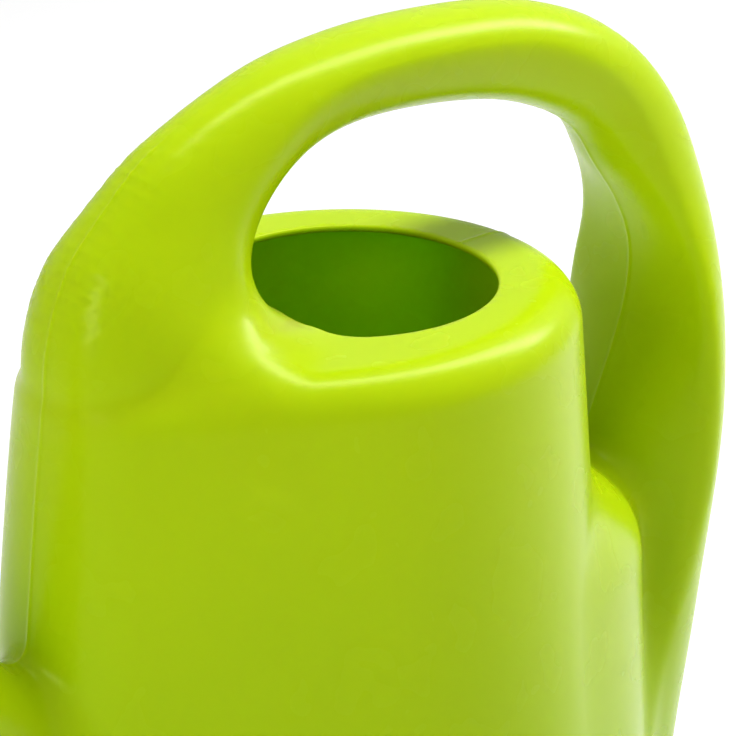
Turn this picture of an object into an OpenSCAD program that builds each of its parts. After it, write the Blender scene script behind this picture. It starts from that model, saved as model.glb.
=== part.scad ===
// Ten-litre garden watering can: a blow-moulded tank and loop handle, a pushed-in spout and a turning rose.
// Units are millimetres. +Z is up, -X points along the spout and the origin lies on the floor under the mouth.

/* [Tank] */
// Height of the filler mouth above the floor
mouth_height = 304; // [290:2:312]
// Wall thickness of the blow-moulded shell
wall = 2.4; // [2:0.2:3]
// Half length of the main oval at the mouth
oval_half_length = 96; // [92:1:100]
// Half width of the main oval at the mouth
oval_half_width = 87; // [82:1:92]
// Radius of the narrow front of the tank at the mouth
nose_radius = 44; // [40:1:46]
// Distance from the mouth's centre to the front of the tank
nose_reach = 141; // [138:1:144]
// Radius of the rounded shoulder round the mouth
shoulder = 12; // [8:1:16]
// Radius of the rounded edge round the base
base_round = 12; // [8:1:16]

/* [Mouth] */
// Radius of the round back of the filler mouth
mouth_radius = 54.5; // [52:0.5:56]
// Distance from the mouth's centre to its straight front edge
mouth_front = 47; // [44:1:50]

/* [Spout] */
// Angle of the spout above the horizontal
spout_angle = 44; // [42:1:46]
// Outer radius of the round neck that the spout plugs into
neck_radius = 27; // [26:0.5:28]
// Length of the spout from the neck to the shoulder behind the rose
spout_length = 160; // [150:5:180]
// Outer radius of the spout just past its flange
spout_root_radius = 25; // [24:0.5:26]
// Outer radius of the spout just before the rose
spout_end_radius = 15.6; // [15:0.2:17]
// Radius of the round tip that the rose turns on
tip_radius = 14; // [13:0.5:14]

/* [Rose] */
// Radius of the rose's dish
dish_radius = 40; // [38:1:43]
// Angle by which the rose's face looks down from the spout's own direction
rose_tilt = 25; // [20:1:28]
// Radius of each spray hole
spray_radius = 0.9; // [0.7:0.1:1.1]
// Rings of spray holes round the middle one
spray_rings = 5; // [3:1:5]

/* [Hidden] */
lime = [0.68, 0.80, 0.05];
rubber = [0.09, 0.09, 0.09];

// Depths of the tank's slices below the mouth, as shares of its height, between its two rounded edges.
slice_depths = [0.1, 0.18, 0.26, 0.32, 0.36, 0.4, 0.44, 0.48, 0.54, 0.62, 0.72, 0.84, 0.93];
round_steps = 4;
outline_steps = 30;

// The neck's open end, and the depths below it of its bore and of the spout's seal.
neck_end = [-222, 0, mouth_height - 86];
neck_depth = 30;
neck_bore = neck_radius - 2.6;
spigot_radius = neck_bore - 0.3;
spigot_depth = 24;
flange = 4;
seal_at = -14;
seal_width = 4;
seal_groove = 1.5;

// The rose's socket on the spout's tip.
tip_depth = 24;
tip_wall = 2.2;
fit_gap = 0.06;
socket_radius = tip_radius + 4.4;
socket_start = spout_length + 0.3;
socket_length = 29;
rose_seal_at = spout_length + 12;
rose_seal_width = 4;
rose_groove = 2.4;
dish_at = spout_length + 38;
dish_depth = 22;
dish_rim = 9;
face_thick = 1.6;
face_seat = 2.2;
face_dome = 3;

// Sections of the loop handle as [outer point, inner point, half width], with points as [x, height above
// the mouth]. They climb from the tank's nose, pass over the mouth and come down the tank's back.
sections = [
    [[-142, -34], [-60, -34], 40],
    [[-140, -4], [-60, -2], 38],
    [[-134, 18], [-62, 18], 33],
    [[-122.5, 37], [-62, 33], 28.5],
    [[-102.5, 57], [-59, 45], 25.5],
    [[-74, 76.5], [-48, 54], 23],
    [[-40, 89.5], [-31, 61], 21.5],
    [[0, 95], [0, 63], 20.5],
    [[40, 93.5], [35, 61], 20.5],
    [[80, 87.5], [65, 55], 21],
    [[113.5, 74.5], [90, 47], 23],
    [[140, 54.5], [109, 35], 25],
    [[160, 26], [127, 17], 26],
    [[170.5, -10], [138, -10], 30],
    [[173.5, -42], [138, -42], 36],
    [[172.5, -66], [130, -66], 39],
    [[171, -90], [112, -90], 39],
    [[168, -115], [80, -115], 39],
    [[166, -145], [60, -145], 38],
    [[162, -205], [50, -205], 34],
    [[155, -270], [50, -270], 31],
    [[151.5, -292], [50, -292], 29.5],
    [[148, -300], [50, -300], 27],
    [[141, -304], [50, -304], 21]
];

// Closes a list of rings, each with the same number of points, into one solid. The rings run counter-clockwise
// as seen from the last one.
module skin(rings) {
    n = len(rings[0]);
    top = (len(rings) - 1) * n;
    sides = [for (i = [0:len(rings) - 2], j = [0:n - 1])
        let (a = i * n + j, b = i * n + (j + 1) % n)
            each [[a, a + n, b], [b, a + n, b + n]]];
    polyhedron(
        points = [for (ring = rings) each ring],
        faces = concat([[for (j = [0:n - 1]) j]], sides, [[for (j = [n - 1:-1:0]) top + j]])
    );
}

// The swelling of the tank's lower back grows smoothly between two depths.
function grown(t, start, end) =
    let (s = min(max((t - start) / (end - start), 0), 1)) s * s * (3 - 2 * s);

// The shapes whose common outline is the tank's at depth share t, as [centre, half length, half width].
function tank_shapes(t) =
    let (nose = nose_radius + 8 * t, back = grown(t, 0.3, 0.46)) [
        [10 * t - 15, oval_half_length + 12 * t, oval_half_width + 14 * t],
        [nose - nose_reach - 28 * pow(t, 0.75), nose, nose],
        [20 + 40 * back, 30 + 34 * back, 30 + 34 * back]
    ];

// How far the outline reaches from the origin in the direction at angle a.
function reach(shapes, a) =
    max([for (s = shapes) s[0] * cos(a) + norm([s[1] * cos(a), s[2] * sin(a)])]);

// Half width of the outline at x: the least that its straight tangents leave.
function half_width(shapes, x, inset) =
    min([for (a = [2:4:178]) (reach(shapes, a) - inset - x * cos(a)) / sin(a)]);

// One slice of the tank at depth share t, drawn in by inset.
function tank_ring(t, inset) =
    let (
        shapes = tank_shapes(t),
        front = inset - reach(shapes, 180),
        back = reach(shapes, 0) - inset,
        z = mouth_height * (1 - t),
        xs = [for (i = [1:outline_steps - 1])
            (front + back) / 2 + (back - front) / 2 * cos(180 * i / outline_steps)],
        ys = [for (x = xs) half_width(shapes, x, inset)]
    )
    concat(
        [[back, 0, z]],
        [for (i = [0:len(xs) - 1]) [xs[i], ys[i], z]],
        [[front, 0, z]],
        [for (i = [len(xs) - 1:-1:0]) [xs[i], -ys[i], z]]
    );

// Slices from the floor up, with the edges at the floor and the mouth rounded.
function edge_inset(radius, i) = radius * (1 - sin(90 * i / round_steps));
function edge_depth(radius, i) = radius * (1 - cos(90 * i / round_steps));
function tank_rings(gap) = concat(
    [for (i = [0:round_steps])
        tank_ring(1 - (gap + edge_depth(base_round - gap, i)) / mouth_height,
                  gap + edge_inset(base_round - gap, i))],
    [for (i = [len(slice_depths) - 1:-1:0]) tank_ring(slice_depths[i], gap)],
    [for (i = [round_steps:-1:0])
        tank_ring((gap + edge_depth(shoulder - gap, i)) / mouth_height,
                  gap + edge_inset(shoulder - gap, i))]
);

// The solid inside the tank's outer face (gap 0), or inside its inner face (gap = wall).
module tank_solid(gap) {
    skin(tank_rings(gap));
}

// One oval section of the loop, drawn in by inset and kept that far above the floor.
function loop_ring(section, inset) =
    let (
        across = section[0] - section[1],
        middle = (section[0] + section[1]) / 2,
        half = norm(across) / 2 - inset,
        along = across / norm(across)
    )
    [for (a = [0:12:348])
        let (p = middle + along * half * cos(a))
            [p[0], (inset - section[2]) * sin(a), max(mouth_height + p[1], inset)]];

module loop_solid(inset) {
    skin([for (section = sections) loop_ring(section, inset)]);
}

// The filler mouth: a round back, a straight front edge and round corners between them.
module mouth_opening() {
    corner = 13;
    translate([0, 0, mouth_height - 2 * wall])
        linear_extrude(4 * wall)
            hull() {
                translate([-2, 0])
                    circle(r = mouth_radius, $fn = 96);
                for (side = [-1, 1])
                    translate([corner - mouth_front, side * 30])
                        circle(r = corner, $fn = 32);
            }
}

// Children are drawn in the spout's own frame: +Z runs from the neck's open end towards the rose.
module on_spout() {
    translate(neck_end)
        rotate([0, spout_angle - 90, 0])
            children();
}

// The tall root that swells out of the tank's nose and ends in the round neck.
module spout_root(inset, from) {
    hull() {
        translate([-138, 0, mouth_height - 172])
            scale([0.35, 1, 2.1])
                sphere(r = 35 - inset, $fn = 36);
        on_spout()
            translate([0, 0, -neck_depth - from])
                cylinder(r = neck_radius - inset, h = from == 0 ? neck_depth : 1, $fn = 48);
    }
}

module tank() {
    color(lime)
        difference() {
            resize([0, 0, 0])
                difference() {
                    union() {
                        tank_solid(0);
                        spout_root(0, 0);
                    }
                    tank_solid(wall);
                    spout_root(wall, 1);
                    loop_solid(wall);
                    mouth_opening();
                }
            on_spout()
                translate([0, 0, -neck_depth - 1])
                    cylinder(r = neck_bore, h = neck_depth + 2, $fn = 96);
        }
}

module loop_handle() {
    color(lime)
        resize([0, 0, 0])
            difference() {
                loop_solid(0);
                loop_solid(wall);
                tank_solid(0);
            }
}

module spout_tube() {
    hollow = spigot_radius - wall;
    groove = spigot_radius - seal_groove;
    tip_end = spout_length + tip_depth;
    color(lime)
        on_spout()
            rotate_extrude($fn = 96)
                polygon([
                    [hollow, -spigot_depth], [spigot_radius - 1, -spigot_depth],
                    [spigot_radius, 2 - spigot_depth],
                    [spigot_radius, seal_at - seal_width / 2], [groove, seal_at - seal_width / 2],
                    [groove, seal_at + seal_width / 2], [spigot_radius, seal_at + seal_width / 2],
                    [spigot_radius, 0], [neck_radius + 2, 0], [neck_radius + 2, flange],
                    [spout_root_radius + 1, flange + 2], [spout_root_radius, flange + 6],
                    [spout_end_radius, spout_length], [tip_radius, spout_length],
                    [tip_radius, tip_end - 1], [tip_radius - 1, tip_end],
                    [tip_radius - tip_wall, tip_end], [tip_radius - tip_wall, spout_length - 2],
                    [hollow, flange + 6]
                ]);
}

// A plain ring from radius inner to radius outer, centred on its own height.
module ring(inner, outer, height) {
    translate([0, 0, -height / 2])
        difference() {
            cylinder(r = outer, h = height, $fn = 96);
            translate([0, 0, -1])
                cylinder(r = inner, h = height + 2, $fn = 96);
        }
}

module spout_seal() {
    color(rubber)
        on_spout()
            translate([0, 0, seal_at])
                ring(spigot_radius - seal_groove, neck_bore, seal_width);
}

// Children are drawn in the dish's own frame: its origin is on the spout's axis and +Z is square to the face.
module on_dish() {
    on_spout()
        translate([0, 0, dish_at])
            rotate([0, -rose_tilt, 0])
                children();
}

module rose_cup() {
    rim_start = dish_depth - dish_rim;
    color(lime)
        difference() {
            union() {
                on_spout()
                    translate([0, 0, socket_start])
                        cylinder(r = socket_radius, h = socket_length, $fn = 96);
                hull() {
                    on_spout()
                        translate([0, 0, socket_start + socket_length - 4])
                            cylinder(r = socket_radius - 1, h = 2, $fn = 32);
                    on_dish()
                        translate([0, 0, rim_start])
                            cylinder(r = dish_radius - 1, h = 2, $fn = 32);
                }
                on_dish()
                    translate([0, 0, rim_start])
                        cylinder(r = dish_radius, h = dish_rim, $fn = 96);
            }
            on_spout()
                translate([0, 0, socket_start - 1])
                    cylinder(r = tip_radius + fit_gap, h = tip_depth + 2, $fn = 96);
            on_spout()
                translate([0, 0, rose_seal_at - rose_seal_width / 2 - fit_gap])
                    cylinder(r = tip_radius + rose_groove + fit_gap, h = rose_seal_width + 2 * fit_gap, $fn = 96);
            hull() {
                on_spout()
                    translate([0, 0, socket_start + tip_depth])
                        cylinder(r = tip_radius - 1.5, h = 1, $fn = 32);
                on_dish()
                    translate([0, 0, rim_start + 1])
                        cylinder(r = dish_radius - 5, h = 0.5, $fn = 32);
            }
            on_dish()
                translate([0, 0, rim_start + 1.2])
                    cylinder(r = dish_radius - 4, h = dish_rim, $fn = 96);
            on_dish()
                translate([0, 0, dish_depth - face_seat])
                    cylinder(r = dish_radius - 2, h = face_seat + 1, $fn = 96);
        }
}

module rose_seal() {
    color(rubber)
        on_spout()
            translate([0, 0, rose_seal_at])
                ring(tip_radius + fit_gap, tip_radius + rose_groove, rose_seal_width);
}

// A thin domed plate that snaps into the dish, with rings of spray holes.
module rose_face() {
    plate = dish_radius - 2;
    ring_step = (plate - 5) / spray_rings;
    dome = [for (i = [0:3]) [plate * i / 3, face_dome * (1 - pow(i / 3, 2))]];
    color(lime)
        on_dish()
            translate([0, 0, dish_depth - face_seat])
                difference() {
                    rotate_extrude($fn = 96)
                        polygon(concat(
                            [for (p = dome) [p[0], p[1] + face_thick]],
                            [for (i = [3:-1:0]) dome[i]]
                        ));
                    for (circle = [0:spray_rings], k = [1:max(6 * circle, 1)])
                        rotate([0, 0, 360 * k / max(6 * circle, 1)])
                            translate([circle * ring_step, 0, -1])
                                cylinder(r = spray_radius, h = face_dome + 4, $fn = 24);
                }
}

tank();
loop_handle();
spout_tube();
spout_seal();
rose_cup();
rose_seal();
rose_face();
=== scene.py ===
import math

import bpy
import numpy as np
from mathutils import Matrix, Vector


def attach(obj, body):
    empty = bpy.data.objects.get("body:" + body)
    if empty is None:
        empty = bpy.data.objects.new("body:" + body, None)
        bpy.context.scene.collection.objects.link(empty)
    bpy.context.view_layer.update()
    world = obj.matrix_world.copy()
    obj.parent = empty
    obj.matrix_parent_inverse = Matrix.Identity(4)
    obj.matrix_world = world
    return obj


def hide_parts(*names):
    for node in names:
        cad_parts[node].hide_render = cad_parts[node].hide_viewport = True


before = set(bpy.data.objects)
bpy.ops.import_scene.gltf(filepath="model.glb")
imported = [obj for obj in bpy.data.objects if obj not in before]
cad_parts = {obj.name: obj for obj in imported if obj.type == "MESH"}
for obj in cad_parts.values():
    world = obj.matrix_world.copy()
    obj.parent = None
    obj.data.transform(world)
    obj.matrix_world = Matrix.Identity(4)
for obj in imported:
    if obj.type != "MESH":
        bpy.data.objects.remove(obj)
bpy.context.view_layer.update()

# The blow-moulded skin is worked out in millimetres, with z = 0 at the rim of the filler mouth.
MM = 0.001
RIM = 0.304
FLOOR = -RIM / MM

# ---------------------------------------------------------------- the tank
WALL = 2.4
# The plan outline is a round nose blended into a main oval, and both grow from the rim to the floor.
NOSE_RADIUS, NOSE_GROWTH = 44, 8
NOSE_REACH, NOSE_SWEEP, NOSE_CURVE = 141, 28, 0.75
OVAL_X, OVAL_SHIFT = -15, 10
OVAL_LENGTH, OVAL_LENGTH_GROWTH = 98, 12
OVAL_WIDTH, OVAL_WIDTH_GROWTH = 88, 13
PLAN_BLEND = 5.0
PLAN_ANGLES = np.radians(np.arange(0, 181, 3.0))
RIM_FILLET = 15.0
BASE_FILLET = 13.0
# The swelling low at the back is an upright round form that widens a little toward the floor.
SWELL_X, SWELL_RADIUS, SWELL_TOP = 59.0, 64.0, -93.0
SWELL_FLARE, SWELL_FILLET, SWELL_BLEND = 0.03, 32.0, 20.0


def ramp(v, start, end):
    """Rises smoothly from 0 at start to 1 at end."""
    s = np.clip((v - start) / (end - start), 0, 1)
    return s * s * (3 - 2 * s)


def soft_max(a, b, k):
    """The larger of two values, with the corner between them rounded over k."""
    h = np.maximum(k - np.abs(a - b), 0) / k
    return np.maximum(a, b) + h * h * k / 4


def tank_shapes(t):
    """Centre, half length and half width of the nose and of the main oval at depth share t."""
    nose = NOSE_RADIUS + NOSE_GROWTH * t
    return [
        (nose - NOSE_REACH - NOSE_SWEEP * np.maximum(t, 0) ** NOSE_CURVE, nose, nose),
        (OVAL_SHIFT * t + OVAL_X, OVAL_LENGTH + OVAL_LENGTH_GROWTH * t, OVAL_WIDTH + OVAL_WIDTH_GROWTH * t),
    ]


def egg(x, y, z):
    """Distance from the tank's plan outline at height z, negative inside."""
    shapes = tank_shapes(np.clip(z / FLOOR, 0, 1))
    side = np.abs(y)
    out = None
    for a in PLAN_ANGLES:
        c, s = math.cos(a), math.sin(a)
        reach = [m * c + np.sqrt((p * c) ** 2 + (q * s) ** 2) for m, p, q in shapes]
        d = x * c + side * s - soft_max(reach[0], reach[1], PLAN_BLEND)
        out = d if out is None else np.maximum(out, d)
    return out


def round_and(a, b, r):
    """Intersection of two solids with a rounded edge of radius r."""
    return np.minimum(-r, np.maximum(a, b)) + np.sqrt(
        np.maximum(r + a, 0) ** 2 + np.maximum(r + b, 0) ** 2)


def round_or(a, b, r):
    """Union of two solids with a hollow fillet of radius r between them."""
    return np.maximum(r, np.minimum(a, b)) - np.sqrt(
        np.maximum(r - a, 0) ** 2 + np.maximum(r - b, 0) ** 2)


# ---------------------------------------------------------------- the loop handle
# Stations of the loop in the plane of symmetry, from the tank's nose over the mouth and down the back. Each
# row holds the outer point x, z, the point x, z level with the section's two inner edges, how far the inner
# face stands back from those edges (negative where it swells), the half widths at the edges and outside, the
# radius of the edges and the fullness of the outer side.
STATIONS = np.array([
    (-141.5, -34, -66, -34, -9, 42, 42, 12, 2.4),
    (-143, -6, -66, -5, -9, 38, 42.5, 12, 2.4),
    (-141.5, 8, -66, 7, -9, 36, 42, 12, 2.4),
    (-137, 21, -67, 17, -9, 32, 38.5, 12, 2.4),
    (-127, 33.5, -67, 26, -9, 29.5, 33, 12, 2.4),
    (-117, 44, -66, 35, -9, 27, 28.5, 12, 2.4),
    (-102.5, 58, -62, 45.5, -9, 24, 24, 11, 2.4),
    (-75, 77.5, -50, 57, -9, 22, 21.5, 10, 2.3),
    (-40, 90.5, -30, 71.5, -14, 21, 21, 9, 2.2),
    (0, 95, 0, 77.5, -16, 20.5, 20.5, 9, 2.2),
    (40, 93.5, 37, 75.5, -16.5, 20.5, 20.5, 9, 2.2),
    (80, 87.5, 71.5, 69, -16, 20.5, 20.5, 9, 2.2),
    (113.5, 74.5, 98, 57.5, -14, 21, 22, 8, 2.1),
    (140, 54.5, 116, 42, -10, 20.5, 24, 7, 2.0),
    (158.5, 29.5, 129, 22, -9, 23, 25, 6, 2.0),
    (168.5, 3, 139, 1, -5, 27, 28, 5.5, 1.9),
    (173, -20, 145, -20, -4, 32.5, 32.5, 5, 1.9),
    (173.5, -42, 146, -42, -6, 38, 38, 4.5, 1.9),
    (172.5, -64, 146.5, -64, -14, 40.5, 40.5, 4.5, 1.9),
    (171, -88, 145.5, -88, -23, 41.5, 41.5, 4.5, 1.9),
    (168, -112, 142.5, -112, -26, 41.5, 41.5, 5, 1.9),
    (167, -140, 136, -139, -20, 40, 40, 5, 1.9),
    (165, -175, 126, -174, -14, 37, 37, 5, 2.0),
    (161, -215, 115, -214, -10, 34, 34, 6, 2.0),
    (156, -260, 107, -260, -8, 31, 31, 7, 2.0),
    (151, -306, 101, -306, -8, 29, 29, 8, 2.0),
], dtype=float)
STATION_STEPS = 12
ROW_SPACING, ROW_BLUR = 2.0, 6.5
# How far past its edge, in half widths, the inner face's slope is followed.
PAST_EDGE = 1.3
# Points worked on at a time, and a size that is as good as nothing.
BATCH = 20000
TINY = 1e-6


def smooth_rows(rows, steps):
    """Catmull-Rom curve through the rows of a table."""
    ends = np.vstack([2 * rows[0] - rows[1], rows, 2 * rows[-1] - rows[-2]])
    out = []
    for i in range(1, len(ends) - 2):
        p0, p1, p2, p3 = ends[i - 1:i + 3]
        for j in range(steps):
            s = j / steps
            out.append(0.5 * (2 * p1 + (p2 - p0) * s + (2 * p0 - 5 * p1 + 4 * p2 - p3) * s * s
                              + (3 * p1 - p0 - 3 * p2 + p3) * s ** 3))
    out.append(rows[-1])
    return np.array(out)


def even_rows(rows, spacing, blur):
    """The rows again at an even spacing along the loop, each averaged with its neighbours over a blur."""
    middle = (rows[:, 0:2] + rows[:, 2:4]) / 2
    run = np.concatenate([[0], np.cumsum(np.linalg.norm(np.diff(middle, axis=0), axis=1))])
    places = np.arange(0, run[-1], spacing)
    even = np.column_stack([np.interp(places, run, column) for column in rows.T])
    reach = int(3 * blur / spacing)
    weights = np.exp(-0.5 * (np.arange(-reach, reach + 1) * spacing / blur) ** 2)
    weights /= weights.sum()
    first = 2 * even[0] - even[reach:0:-1]
    last = 2 * even[-1] - even[-2:-reach - 2:-1]
    padded = np.vstack([first, even, last])
    return np.column_stack([np.convolve(column, weights, mode="valid") for column in padded.T])


ROWS = even_rows(smooth_rows(STATIONS, STATION_STEPS), ROW_SPACING, ROW_BLUR)
MIDDLE = (ROWS[:, 0:2] + ROWS[:, 2:4]) / 2


def loop(x, y, z):
    """Distance from the loop handle, negative inside."""
    shape = np.shape(x)
    fx, fy, fz = np.ravel(x), np.ravel(y), np.ravel(z)
    best = np.empty(len(fx), dtype=int)
    for i in range(0, len(fx), BATCH):
        d = ((fx[i:i + BATCH, None] - MIDDLE[None, :, 0]) ** 2
             + (fz[i:i + BATCH, None] - MIDDLE[None, :, 1]) ** 2)
        best[i:i + BATCH] = np.argmin(d, axis=1)
    k = np.clip(best, 1, len(ROWS) - 2)
    tangent = MIDDLE[k + 1] - MIDDLE[k - 1]
    size = (tangent ** 2).sum(axis=1)
    along = 2 * ((fx - MIDDLE[k, 0]) * tangent[:, 0] + (fz - MIDDLE[k, 1]) * tangent[:, 1]) / size
    along = np.clip(along, -1, 1)[:, None]
    row = ROWS[k] + np.where(along > 0, ROWS[k + 1] - ROWS[k], ROWS[k] - ROWS[k - 1]) * along
    across = row[:, 0:2] - row[:, 2:4]
    bulge = np.linalg.norm(across, axis=1)
    across = across / bulge[:, None]
    t = (fx - row[:, 2]) * across[:, 0] + (fz - row[:, 3]) * across[:, 1]
    hollow, inner_width, outer_width, edge, power = row[:, 4:9].T
    width = inner_width + (outer_width - inner_width) * np.clip(t / bulge, 0, 1)
    v = np.abs(fy) / width
    u = np.maximum(t, 0) / bulge
    g = (u ** power + v ** power) ** (1 / power) + TINY
    slope = (np.sqrt((u ** (power - 1) / bulge) ** 2 + (v ** (power - 1) / width) ** 2)
             / g ** (power - 1) + TINY)
    outside = (g - 1) / slope
    lean = 2 * hollow * np.minimum(v, PAST_EDGE) / width
    inside = (hollow * (1 - v * v) - t) / np.sqrt(1 + lean ** 2)
    return round_and(outside, inside, edge).reshape(shape)


# ---------------------------------------------------------------- the spout's root
SPOUT_RISE = math.radians(44)
AXIS = np.array((-math.cos(SPOUT_RISE), math.sin(SPOUT_RISE)))
NORMAL = np.array((math.sin(SPOUT_RISE), math.cos(SPOUT_RISE)))
NECK_END = np.array((-222.0, -86.0))
NECK_RADIUS = 27.0
# Toward the tank the neck grows taller and a little wider, and its middle sinks below the axis.
ROOT_TALLER, ROOT_WIDER, ROOT_SINK = 14, 1, 6
ROOT_TAPER_START, ROOT_TAPER_END = -120.0, -22.0
ROOT_LENGTH = 130


def root(x, y, z):
    """Distance from the tapering root of the spout, negative inside."""
    dx, dz = x - NECK_END[0], z - NECK_END[1]
    s = dx * AXIS[0] + dz * AXIS[1]
    n = dx * NORMAL[0] + dz * NORMAL[1]
    taper = 1 - ramp(s, ROOT_TAPER_START, ROOT_TAPER_END)
    n = n + ROOT_SINK * taper
    tall = NECK_RADIUS + ROOT_TALLER * taper
    wide = NECK_RADIUS + ROOT_WIDER * taper
    g = np.sqrt((n / tall) ** 2 + (y / wide) ** 2) + TINY
    slope = np.sqrt((n / tall ** 2) ** 2 + (y / wide ** 2) ** 2) / g + TINY
    tube = (g - 1) / slope
    return np.maximum(np.maximum(tube, s), -s - ROOT_LENGTH)


# ---------------------------------------------------------------- the whole moulding
# The handle's front leg ends inside the tank, and its fillet grows from the nose toward the mouth. Behind
# STRAP_FROM the loop is the grip's back and the strap, with one fillet throughout.
LEG_DEPTH = 17
LEG_FILLET, LEG_FILLET_GROWTH = 3, 26
LEG_FILLET_START, LEG_FILLET_END = -124.0, -84.0
STRAP_FILLET = 14.0
STRAP_FROM = 20
ROOT_FILLET = 12.0


def moulding(x, y, z):
    """Distance from the outer face of the whole blow moulding, negative inside."""
    tank = round_and(egg(x, y, z), z, RIM_FILLET)
    swell = np.sqrt((x - SWELL_X) ** 2 + y * y) - SWELL_RADIUS + SWELL_FLARE * (z - SWELL_TOP)
    tank = round_or(tank, round_and(swell, z - SWELL_TOP, SWELL_FILLET), SWELL_BLEND)
    handle = loop(x, y, z)
    leg = np.maximum(handle, -z - LEG_DEPTH)
    leg_fillet = LEG_FILLET + LEG_FILLET_GROWTH * ramp(x, LEG_FILLET_START, LEG_FILLET_END)
    handle = np.where(x < STRAP_FROM, leg, handle)
    fillet = np.where(x < STRAP_FROM, leg_fillet, STRAP_FILLET)
    body = round_or(tank, handle, fillet)
    body = round_and(body, FLOOR - z, BASE_FILLET)
    return round_or(body, root(x, y, z), ROOT_FILLET)


# ---------------------------------------------------------------- from a field to a mesh
def steps(start, *runs):
    """Grid lines from a first value through runs of (end, spacing)."""
    out = [start]
    for end, spacing in runs:
        n = max(1, round((end - out[-1]) / spacing))
        out += list(np.linspace(out[-1], end, n + 1)[1:])
    return np.array(out)


def field(xs, ys, zs, shape):
    """The field on a grid that is symmetric in y."""
    half = ys[ys >= 0]
    x, z = np.meshgrid(xs, zs, indexing="ij")
    values = np.empty((len(xs), len(half), len(zs)), dtype=np.float32)
    for j, y in enumerate(half):
        values[:, j, :] = shape(x, np.full_like(x, y), z)
    return np.concatenate([values[:, :0:-1, :], values], axis=1)


def surface(xs, ys, zs, values):
    """Surface net: a point in each cell that the surface crosses, a quad round each crossed grid edge."""
    inside = values < 0
    count = np.zeros([n - 1 for n in values.shape], dtype=np.int32)
    total = np.zeros([n - 1 for n in values.shape] + [3], dtype=np.float32)
    grids = np.meshgrid(xs, ys, zs, indexing="ij")
    for axis in range(3):
        lo = [slice(None)] * 3
        hi = [slice(None)] * 3
        lo[axis], hi[axis] = slice(None, -1), slice(1, None)
        a, b = values[tuple(lo)], values[tuple(hi)]
        crossed = inside[tuple(lo)] != inside[tuple(hi)]
        share = np.where(crossed, a / np.where(crossed, a - b, 1), 0)
        point = [g[tuple(lo)] + share * (g[tuple(hi)] - g[tuple(lo)]) for g in grids]
        others = [i for i in range(3) if i != axis]
        for p in (0, 1):
            for q in (0, 1):
                cut = [slice(None)] * 3
                n0, n1 = values.shape[others[0]] - 1, values.shape[others[1]] - 1
                cut[others[0]] = slice(p, p + n0)
                cut[others[1]] = slice(q, q + n1)
                mask = crossed[tuple(cut)]
                count += mask
                for i in range(3):
                    total[..., i] += np.where(mask, point[i][tuple(cut)], 0)
    used = count > 0
    number = np.full(count.shape, -1, dtype=np.int64)
    number[used] = np.arange(used.sum())
    points = total[used] / count[used][:, None]
    quads = []
    for axis in range(3):
        lo = [slice(None)] * 3
        hi = [slice(None)] * 3
        lo[axis], hi[axis] = slice(None, -1), slice(1, None)
        a, b = inside[tuple(lo)], inside[tuple(hi)]
        u, v = (axis + 1) % 3, (axis + 2) % 3
        index = np.argwhere(a != b)
        index = index[(index[:, u] > 0) & (index[:, v] > 0)
                      & (index[:, u] < values.shape[u] - 1) & (index[:, v] < values.shape[v] - 1)]
        corner = []
        for du, dv in ((-1, -1), (0, -1), (0, 0), (-1, 0)):
            cell = index.copy()
            cell[:, u] += du
            cell[:, v] += dv
            corner.append(number[cell[:, 0], cell[:, 1], cell[:, 2]])
        quad = np.stack(corner, axis=1)
        flip = ~a[index[:, 0], index[:, 1], index[:, 2]]
        quad[flip] = quad[flip][:, ::-1]
        quads.append(quad)
    return points, np.vstack(quads)


# How points settle: the length over which slope is measured, the rounds, the least slope trusted, the
# longest move in a round, and the half width of the zone at the plane of symmetry where no point moves in y.
PROBE = 0.4
SETTLE_ROUNDS = 2
LEAST_SLOPE = 0.05
LONGEST_MOVE = 1.5
SEAM_ZONE = 1.5


def gradient(points, shape):
    """The field's slope at points, from differences over the length PROBE."""
    parts = []
    for i in range(3):
        step = np.zeros(3)
        step[i] = PROBE
        p, m = points + step, points - step
        parts.append((shape(p[:, 0], p[:, 1], p[:, 2]) - shape(m[:, 0], m[:, 1], m[:, 2])) / (2 * PROBE))
    return np.stack(parts, axis=1)


def settle(points, shape):
    """Moves points onto the true surface of the field, and never sideways near the plane of symmetry."""
    for _ in range(SETTLE_ROUNDS):
        value = shape(points[:, 0], points[:, 1], points[:, 2])
        g = gradient(points, shape)
        g[np.abs(points[:, 1]) < SEAM_ZONE, 1] = 0
        size = np.maximum((g ** 2).sum(axis=1), LEAST_SLOPE)
        move = -(value / size)[:, None] * g
        length = np.linalg.norm(move, axis=1)
        move *= np.minimum(1, LONGEST_MOVE / np.maximum(length, TINY))[:, None]
        points = points + move
    return points


def make_mesh(name, points, faces):
    """A smooth-shaded object from millimetre points measured from the rim."""
    mesh = bpy.data.meshes.new(name)
    metres = points * MM + np.array((0, 0, RIM))
    mesh.vertices.add(len(metres))
    mesh.vertices.foreach_set("co", metres.astype(np.float32).ravel())
    n = faces.shape[1]
    mesh.loops.add(len(faces) * n)
    mesh.loops.foreach_set("vertex_index", faces.ravel().astype(np.int32))
    mesh.polygons.add(len(faces))
    mesh.polygons.foreach_set("loop_start", np.arange(0, len(faces) * n, n, dtype=np.int32))
    mesh.update(calc_edges=True)
    mesh.validate()
    mesh.shade_smooth()
    obj = bpy.data.objects.new(name, mesh)
    bpy.context.scene.collection.objects.link(obj)
    return obj


# ---------------------------------------------------------------- the skin with its parting line
SEAM_HEIGHT, SEAM_HALF = 0.3, 0.9
# On the grip the line is worn almost flat: the share lost, and where the worn stretch fades in and out.
SEAM_WEAR = 0.9
WORN_FRONT, WORN_BACK, WORN_HEIGHT = (-100.0, -80.0), (95.0, 120.0), (55.0, 70.0)


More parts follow.
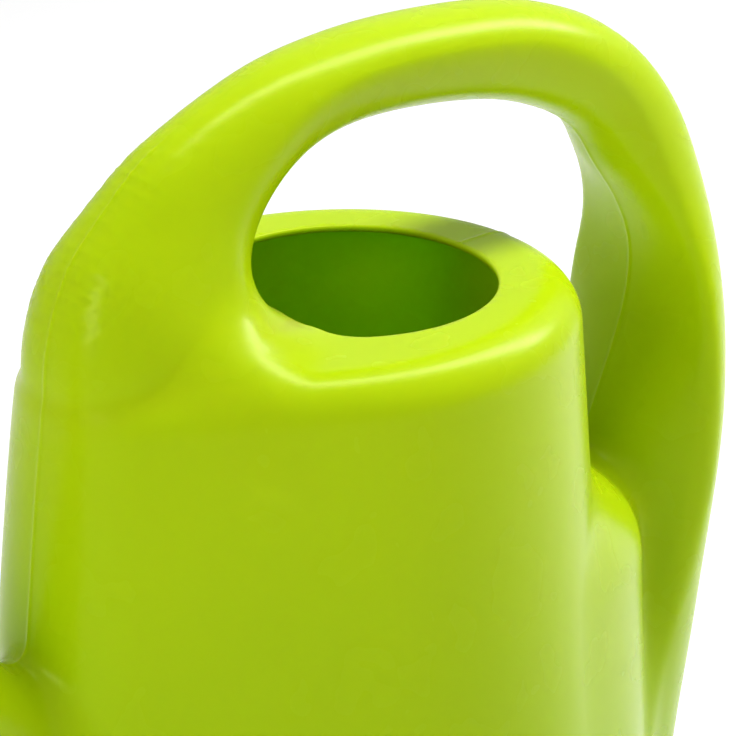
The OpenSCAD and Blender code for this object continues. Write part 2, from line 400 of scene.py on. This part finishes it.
def seamed(x, y, z):
    """The moulding with the thin raised line where the two halves of the mould meet."""
    on_grip = ramp(z, *WORN_HEIGHT) * ramp(x, *WORN_FRONT) * (1 - ramp(x, *WORN_BACK))
    height = SEAM_HEIGHT * (1 - SEAM_WEAR * on_grip)
    return moulding(x, y, z) - height * np.maximum(0, 1 - (y / SEAM_HALF) ** 2)


def inner_wall(x, y, z):
    """The hollow inside the moulding, one wall thickness in."""
    return moulding(x, y, z) + WALL


def both_sides(half):
    """Grid lines on both sides of the plane of symmetry from the lines at zero and above."""
    return np.concatenate([-half[:0:-1], half])


def skin_of(name, shape, xs, half_ys, zs):
    """The surface of a field as an object."""
    ys = both_sides(half_ys)
    points, quads = surface(xs, ys, zs, field(xs, ys, zs, shape))
    return make_mesh(name, settle(points.astype(float), shape), quads)


# The grids reach a little past the moulding. Their cells are finest beside the parting line and coarser
# low down and on the inside.
FRONT, BACK, TOP = -262.0, 182.0, 99.0
SIDE, INNER_SIDE = 107.0, 105.0
UNDER, INNER_UNDER = FLOOR - 4, FLOOR - 3
SEAM_LINES = [0.0, 0.45, 0.9, 1.8, 3.2, 5.0]
CELL_X, CELL_Y, CELL_Z, LOW_CELL_Z = 2.6, 2.7, 2.4, 3.8
LOW_END = -140.0
INNER_CELL = 4.9

skin = skin_of("tank_skin", seamed,
               steps(FRONT, (BACK, CELL_X)),
               np.array(SEAM_LINES + list(steps(SEAM_LINES[-1], (SIDE, CELL_Y))[1:])),
               steps(UNDER, (LOW_END, LOW_CELL_Z), (TOP, CELL_Z)))
hollow = skin_of("hollow", inner_wall,
                 steps(FRONT, (BACK, INNER_CELL)),
                 steps(0.0, (INNER_SIDE, INNER_CELL)),
                 steps(INNER_UNDER, (TOP, INNER_CELL)))


# ---------------------------------------------------------------- the filler mouth and the neck's bore
def lofted(name, rings):
    """A closed solid through rings of equal length, each a list of points."""
    n = len(rings[0])
    points = np.vstack(rings)
    faces = []
    for k in range(len(rings) - 1):
        for i in range(n):
            j = (i + 1) % n
            faces.append((k * n + i, k * n + j, (k + 1) * n + j, (k + 1) * n + i))
    mesh = bpy.data.meshes.new(name)
    ends = [tuple(range(n - 1, -1, -1)), tuple((len(rings) - 1) * n + i for i in range(n))]
    mesh.from_pydata((points * MM + np.array((0, 0, RIM))).tolist(), [], faces + ends)
    obj = bpy.data.objects.new(name, mesh)
    bpy.context.scene.collection.objects.link(obj)
    return obj


MOUTH_X, MOUTH_RADIUS, MOUTH_FRONT, MOUTH_CORNER = -2.0, 54.5, -47.0, 15.0
MOUTH_POINTS = 144
MOUTH_SEARCH, HALVINGS = 80.0, 30
# The mouth's lip from below upward, as growth of the outline and height.
MOUTH_LIP = [(0.0, -12.0), (0.0, -0.9), (0.25, -0.4), (0.9, 0.05), (1.6, 3.0)]


def mouth_outline(grow):
    """The filler mouth's outline: a round back, a straight front edge and round corners between them."""
    out = []
    for a in np.linspace(0, 2 * math.pi, MOUTH_POINTS, endpoint=False):
        low, high = 0.0, MOUTH_SEARCH
        for _ in range(HALVINGS):
            r = (low + high) / 2
            x, y = r * math.cos(a), r * math.sin(a)
            back = math.hypot(x - MOUTH_X, y) - MOUTH_RADIUS
            d = float(round_and(back, MOUTH_FRONT - x, MOUTH_CORNER))
            low, high = (r, high) if d < grow else (low, r)
        out.append((low * math.cos(a), low * math.sin(a)))
    return np.array(out)


rings = []
for grow, z in MOUTH_LIP:
    outline = mouth_outline(grow)
    rings.append(np.column_stack([outline, np.full(len(outline), z)]))
mouth_cut = lofted("mouth_cut", rings)

RING_POINTS = 96


def circle(centre, rise, radius):
    """A ring of points round a centre in the plane of symmetry, square to an axis that climbs at rise."""
    across = np.array((math.sin(rise), 0, math.cos(rise)))
    turns = np.linspace(0, 2 * math.pi, RING_POINTS, endpoint=False)
    middle = np.array((centre[0], 0, centre[1]))
    return middle + radius * (np.outer(np.cos(turns), across) + np.outer(np.sin(turns), (0, 1, 0)))


def on_spout(s, radius):
    """A ring round the spout's axis, at distance s past the neck's open end."""
    return circle(NECK_END + s * AXIS, SPOUT_RISE, radius)


BORE_RADIUS, BORE_DEPTH, BORE_OVERRUN = 24.4, 30.0, 3.0
bore_cut = lofted("bore_cut", [on_spout(s, BORE_RADIUS) for s in (-BORE_DEPTH, BORE_OVERRUN)])

for cutter in (hollow, mouth_cut, bore_cut):
    cut = skin.modifiers.new("cut", "BOOLEAN")
    cut.operation = "DIFFERENCE"
    cut.solver = "MANIFOLD"
    cut.object = cutter
    bpy.context.view_layer.objects.active = skin
    bpy.ops.object.modifier_apply(modifier=cut.name)
    bpy.data.objects.remove(cutter)
skin.data.shade_smooth()

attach(skin, "can")
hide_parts("tank", "loop_handle")


# ---------------------------------------------------------------- the rose's cup
SPOUT_LENGTH = 160.0
TIP_RADIUS = 14.06
SOCKET_START, SOCKET_END = SPOUT_LENGTH + 0.3, SPOUT_LENGTH + 29.0
SOCKET_FLOOR = SPOUT_LENGTH + 24.3
SEAL_AT, SEAL_HALF, SEAL_REACH = SPOUT_LENGTH + 12.0, 2.06, 16.46
DISH_AT, DISH_RISE = SPOUT_LENGTH + 38.0, SPOUT_RISE - math.radians(25)
DISH_AXIS = np.array((-math.cos(DISH_RISE), math.sin(DISH_RISE)))
DISH_START = NECK_END + DISH_AT * AXIS
SHARP_ANGLE = math.radians(38)


def on_dish(s, radius):
    """A ring round the dish's axis, at distance s past its start."""
    return circle(DISH_START + s * DISH_AXIS, DISH_RISE, radius)


FLARE_PULL, FLARE_POWER = 0.38, 1.5


def flare(start, end, r0, r1, count):
    """Rings that swell like a trumpet while they turn from the spout's axis to the dish's."""
    a, b = NECK_END + start * AXIS, DISH_START + end * DISH_AXIS
    pull = np.linalg.norm(b - a) * FLARE_PULL
    out = []
    for q in np.linspace(0, 1, count + 2)[1:-1]:
        p1, p2 = a + pull * AXIS, b - pull * DISH_AXIS
        centre = ((1 - q) ** 3 * a + 3 * q * (1 - q) ** 2 * p1 + 3 * q * q * (1 - q) * p2 + q ** 3 * b)
        rise = SPOUT_RISE + (DISH_RISE - SPOUT_RISE) * ramp(q, 0.0, 1.0)
        out.append(circle(centre, rise, r0 + (r1 - r0) * q ** FLARE_POWER))
    return out


FLUTES = 24


def fluted(s, radius, depth):
    """A ring with shallow flutes for the fingers."""
    ring = on_spout(s, radius)
    centre = np.array((NECK_END[0] + s * AXIS[0], 0, NECK_END[1] + s * AXIS[1]))
    turns = np.linspace(0, 2 * math.pi, RING_POINTS, endpoint=False)
    scale = 1 - depth / radius * (0.5 - 0.5 * np.cos(FLUTES * turns))
    return centre + (ring - centre) * scale[:, None]


def tube_mesh(name, rings):
    """A closed skin through rings whose last one joins the first, with crisp edges above an angle."""
    n = len(rings[0])
    faces = []
    for k in range(len(rings)):
        for i in range(n):
            j = (i + 1) % n
            m = (k + 1) % len(rings)
            faces.append((k * n + i, m * n + i, m * n + j, k * n + j))
    obj = make_mesh(name, np.vstack(rings), np.array(faces))
    obj.data.set_sharp_from_angle(angle=SHARP_ANGLE)
    return obj


# The cup's outside, as distance and radius: the collar at the socket's open end, the finger grip with its
# depth of flute, and the dish with its rolled rim and the step that holds the face.
COLLAR = [(0.0, 17.4), (0.7, 18.4), (2.6, 19.0), (4.2, 19.0), (5.0, 18.3)]
FINGER_GRIP = [(6.0, 18.3, 0.0), (7.5, 18.3, 0.7), (20.0, 18.1, 0.7), (21.5, 18.1, 0.0)]
WAIST_BACK, WAIST_RADIUS = 3.0, 17.9
DISH = [(12.6, 38.6), (13.2, 39.6), (13.9, 40.2), (15.0, 40.4), (20.6, 40.4), (21.6, 40.0), (22.0, 39.2),
        (22.0, 38.3), (21.8, 38.02), (19.8, 38.02), (19.8, 36.0), (15.0, 36.0)]
FLARE_RINGS, INNER_FLARE_RINGS = 18, 12
THROAT_START, THROAT_RADIUS, THROAT_END = SPOUT_LENGTH + 25.0, 12.6, 12.9
CHAMFER = 0.8

outside = [on_spout(SOCKET_START + s, r) for s, r in COLLAR]
outside += [fluted(SOCKET_START + s, r, depth) for s, r, depth in FINGER_GRIP]
outside += [on_spout(SOCKET_END - WAIST_BACK, WAIST_RADIUS)]
outside += flare(SOCKET_END - WAIST_BACK, DISH[0][0], WAIST_RADIUS, DISH[0][1], FLARE_RINGS)
outside += [on_dish(s, r) for s, r in DISH]
inside = flare(THROAT_START, THROAT_END, THROAT_RADIUS, DISH[-1][1], INNER_FLARE_RINGS)[::-1]
bore = [on_spout(s, r) for s, r in (
    (THROAT_START, THROAT_RADIUS), (SOCKET_FLOOR, THROAT_RADIUS), (SOCKET_FLOOR, TIP_RADIUS),
    (SEAL_AT + SEAL_HALF, TIP_RADIUS), (SEAL_AT + SEAL_HALF, SEAL_REACH),
    (SEAL_AT - SEAL_HALF, SEAL_REACH), (SEAL_AT - SEAL_HALF, TIP_RADIUS),
    (SOCKET_START + CHAMFER, TIP_RADIUS), (SOCKET_START, TIP_RADIUS + CHAMFER))]
cup = tube_mesh("rose_cup_skin", outside + inside + bore)
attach(cup, "rose")
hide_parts("rose_cup")


# ---------------------------------------------------------------- the spout
# The spout's profile from the neck's open end, as distance and radius: the spigot with its seal groove, the
# flange, a raised band, the long taper, the band at its end and the round tip, then back down the inside.
SPIGOT, GROOVE = 24.1, 22.6
FOOT = [(-24, 23.1), (-23.4, 23.7), (-22, SPIGOT), (-16, SPIGOT), (-16, GROOVE), (-12, GROOVE),
        (-12, SPIGOT), (0, SPIGOT)]
FLANGE = [(0.1, 28.2), (0.9, 29.0), (2.0, 29.2), (3.3, 29.0), (4.3, 28.2), (5.1, 26.8), (6.6, 25.7)]
LOW_BAND = [(9.0, 25.2), (11.0, 25.0), (11.7, 25.5), (13.0, 25.6), (14.3, 25.4), (15.0, 24.8)]
TAPER_FROM, TAPER_RUN, TAPER_RADIUS, TAPER_LOSS, TAPER_POWER = 15.0, 139.0, 24.8, 9.0, 0.94
TAPER = [(s, TAPER_RADIUS - TAPER_LOSS * ((s - TAPER_FROM) / TAPER_RUN) ** TAPER_POWER)
         for s in np.linspace(27.0, TAPER_FROM + TAPER_RUN, 12)]
END_BAND = [(155.0, 16.5), (156.0, 16.9), (158.8, 16.9), (159.6, 16.5), (160.0, 15.8)]
TIP = [(160.0, 14.0), (182.6, 14.0), (183.6, 13.5), (184.0, 12.8)]
INSIDE_TIP = [(184.0, 12.0), (183.0, 11.8), (158.0, 11.8)]
CONE_TOP, CONE_RUN, CONE_RADIUS, CONE_GAIN = 158.0, 148.0, 11.8, 9.9
INSIDE_CONE = [(s, CONE_RADIUS + CONE_GAIN * (CONE_TOP - s) / CONE_RUN) for s in np.linspace(140.0, 28.0, 6)]
INSIDE_FOOT = [(10.0, 21.7), (-24.0, 21.7)]
PROFILE = FOOT + FLANGE + LOW_BAND + TAPER + END_BAND + TIP + INSIDE_TIP + INSIDE_CONE + INSIDE_FOOT

spout = tube_mesh("spout_skin", [on_spout(s, r) for s, r in PROFILE])
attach(spout, "can")
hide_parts("spout_tube")


# ---------------------------------------------------------------- materials
# What the moulded plastics share. Lengths are in metres and noise scales are in cycles a metre.
IOR, SPECULAR, SPECULAR_TINT = 1.46, 0.2, (1.0, 1.0, 0.4, 1)
SCATTER_RADIUS, SCATTER_SCALE = (0.75, 1.0, 0.1), 0.007
CLOUD_SCALE, CLOUD_SHARE = 9, 0.6
GLOSS_SCALE, GLOSS_LESS, GLOSS_MORE = 40, 0.03, 0.04
GRAIN_STRENGTH, GRAIN_DEPTH = 0.12, 0.00012
WAVE_SCALE, WAVE_STRENGTH, WAVE_DEPTH = 24, 0.2, 0.0006
# Painted shade: the plastic's colour is multiplied darker low down to stand in for the shade on the lower
# walls, none of it at the upper height and all of it at the lower height.
PAINTED_LOW_SHADE, PAINTED_SHADE_BOTTOM, PAINTED_SHADE_TOP = (0.72, 0.79, 1.0, 1), 0.02, 0.31


def nodes_of(name):
    """A new material with its node tree and its main shader."""
    material = bpy.data.materials.new(name)
    material.use_nodes = True
    tree = material.node_tree
    return material, tree, tree.nodes["Principled BSDF"]


def noise(tree, scale, detail, coords):
    """Noise that is fixed to the object."""
    node = tree.nodes.new("ShaderNodeTexNoise")
    node.inputs["Scale"].default_value = scale
    node.inputs["Detail"].default_value = detail
    tree.links.new(coords.outputs["Object"], node.inputs["Vector"])
    return node.outputs["Fac"]


def spread(tree, value, low, high, start=0.0, end=1.0):
    """A value that runs from start to end, smoothly spread over low to high."""
    node = tree.nodes.new("ShaderNodeMapRange")
    node.interpolation_type = "SMOOTHSTEP"
    node.inputs["From Min"].default_value = start
    node.inputs["From Max"].default_value = end
    node.inputs["To Min"].default_value = low
    node.inputs["To Max"].default_value = high
    tree.links.new(value, node.inputs["Value"])
    return node.outputs["Result"]


def colour_mix(tree, share, second):
    """A colour mix whose second colour is fixed."""
    node = tree.nodes.new("ShaderNodeMix")
    node.data_type = "RGBA"
    node.inputs[7].default_value = second
    tree.links.new(share, node.inputs[0])
    return node


def bump(tree, height, strength, distance):
    """A bump from a height."""
    node = tree.nodes.new("ShaderNodeBump")
    node.inputs["Strength"].default_value = strength
    node.inputs["Distance"].default_value = distance
    tree.links.new(height, node.inputs["Height"])
    return node


def plastic(name, colour, deep, rough, grain, thin):
    """Moulded plastic: faint cloudy colour, painted shade that darkens it low down, uneven gloss, a fine
    grain and slow waves in the surface.
    """
    material, tree, shader = nodes_of(name)
    coords = tree.nodes.new("ShaderNodeTexCoord")
    cloud_share = spread(tree, noise(tree, CLOUD_SCALE, 2, coords), 0.0, CLOUD_SHARE)
    clouds = colour_mix(tree, cloud_share, (*deep, 1))
    clouds.inputs[6].default_value = (*colour, 1)
    height = tree.nodes.new("ShaderNodeSeparateXYZ")
    tree.links.new(coords.outputs["Object"], height.inputs["Vector"])
    # Painted shade: the share of darkening is full low on the object and none near the top.
    painted_shade_share = spread(tree, height.outputs["Z"], 1.0, 0.0, PAINTED_SHADE_BOTTOM, PAINTED_SHADE_TOP)
    shaded = colour_mix(tree, painted_shade_share, PAINTED_LOW_SHADE)
    shaded.blend_type = "MULTIPLY"
    tree.links.new(clouds.outputs[2], shaded.inputs[6])
    tree.links.new(shaded.outputs[2], shader.inputs["Base Color"])
    gloss = noise(tree, GLOSS_SCALE, 2, coords)
    tree.links.new(spread(tree, gloss, rough - GLOSS_LESS, rough + GLOSS_MORE), shader.inputs["Roughness"])
    fine = bump(tree, noise(tree, grain, 2, coords), GRAIN_STRENGTH, GRAIN_DEPTH)
    waves = bump(tree, noise(tree, WAVE_SCALE, 1, coords), WAVE_STRENGTH, WAVE_DEPTH)
    tree.links.new(fine.outputs["Normal"], waves.inputs["Normal"])
    tree.links.new(waves.outputs["Normal"], shader.inputs["Normal"])
    shader.inputs["IOR"].default_value = IOR
    shader.inputs["Specular IOR Level"].default_value = SPECULAR
    shader.inputs["Specular Tint"].default_value = SPECULAR_TINT
    shader.inputs["Subsurface Weight"].default_value = thin
    shader.inputs["Subsurface Radius"].default_value = SCATTER_RADIUS
    shader.inputs["Subsurface Scale"].default_value = SCATTER_SCALE
    return material


LIME = plastic("lime_plastic", (0.425, 0.59, 0.001), (0.375, 0.545, 0.001), 0.26, 1400, 0.8)
LIME_RIGID = plastic("lime_rigid", (0.415, 0.58, 0.001), (0.37, 0.54, 0.001), 0.26, 1800, 0.2)
RUBBER = plastic("seal_rubber", (0.022, 0.022, 0.024), (0.012, 0.012, 0.013), 0.55, 2600, 0.0)
for piece, material in ((skin, LIME), (cup, LIME_RIGID), (spout, LIME_RIGID),
                        (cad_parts["rose_face"], LIME_RIGID),
                        (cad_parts["spout_seal"], RUBBER), (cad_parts["rose_seal"], RUBBER)):
    piece.data.materials.clear()
    piece.data.materials.append(material)


# ---------------------------------------------------------------- floor, light and camera
FLOOR_HALF = 6
corners = [(-FLOOR_HALF, -FLOOR_HALF, 0), (FLOOR_HALF, -FLOOR_HALF, 0),
           (FLOOR_HALF, FLOOR_HALF, 0), (-FLOOR_HALF, FLOOR_HALF, 0)]
floor_mesh = bpy.data.meshes.new("floor")
floor_mesh.from_pydata(corners, [], [(0, 1, 2, 3)])
floor = bpy.data.objects.new("floor", floor_mesh)
bpy.context.scene.collection.objects.link(floor)
white, tree, shader = nodes_of("white_floor")
shader.inputs["Base Color"].default_value = (0.88, 0.88, 0.88, 1)
shader.inputs["Roughness"].default_value = 0.7
floor.data.materials.append(white)

bpy.context.scene.view_settings.view_transform = "Standard"
world = bpy.data.worlds.new("studio")
bpy.context.scene.world = world
world.use_nodes = True
world.node_tree.nodes["Background"].inputs["Color"].default_value = (1, 1, 1, 1)
world.node_tree.nodes["Background"].inputs["Strength"].default_value = 0.53


def area_light(name, place, target, size, power):
    """A rectangular softbox that faces a target."""
    data = bpy.data.lights.new(name, "AREA")
    data.shape = "RECTANGLE"
    data.size, data.size_y = size
    data.energy = power
    obj = bpy.data.objects.new(name, data)
    obj.location = place
    obj.rotation_euler = (Vector(target) - Vector(place)).to_track_quat("-Z", "Y").to_euler()
    bpy.context.scene.collection.objects.link(obj)


# A softbox at the left, and a long strip that arches from overhead down to the right.
area_light("left", (-1.9, -0.4, 1.05), (-0.05, 0, 0.3), (0.6, 1.1), 14)
area_light("arch", (0.95, -0.14, 1.72), (0, 0, 0.3), (0.4, 2.3), 45)

# A long lens from the front left and above.
CAMERA_PLACE, CAMERA_LOOK = (-1.2439, -1.3903, RIM + 0.7377), Vector((0.6182, 0.6866, -0.3827))
camera_data = bpy.data.cameras.new("camera")
camera_data.sensor_width = 36
camera_data.lens = 271.7
camera_data.clip_end = 30
camera = bpy.data.objects.new("camera", camera_data)
camera.location = CAMERA_PLACE
camera.rotation_euler = CAMERA_LOOK.to_track_quat("-Z", "Y").to_euler()
bpy.context.scene.collection.objects.link(camera)
bpy.context.scene.camera = camera
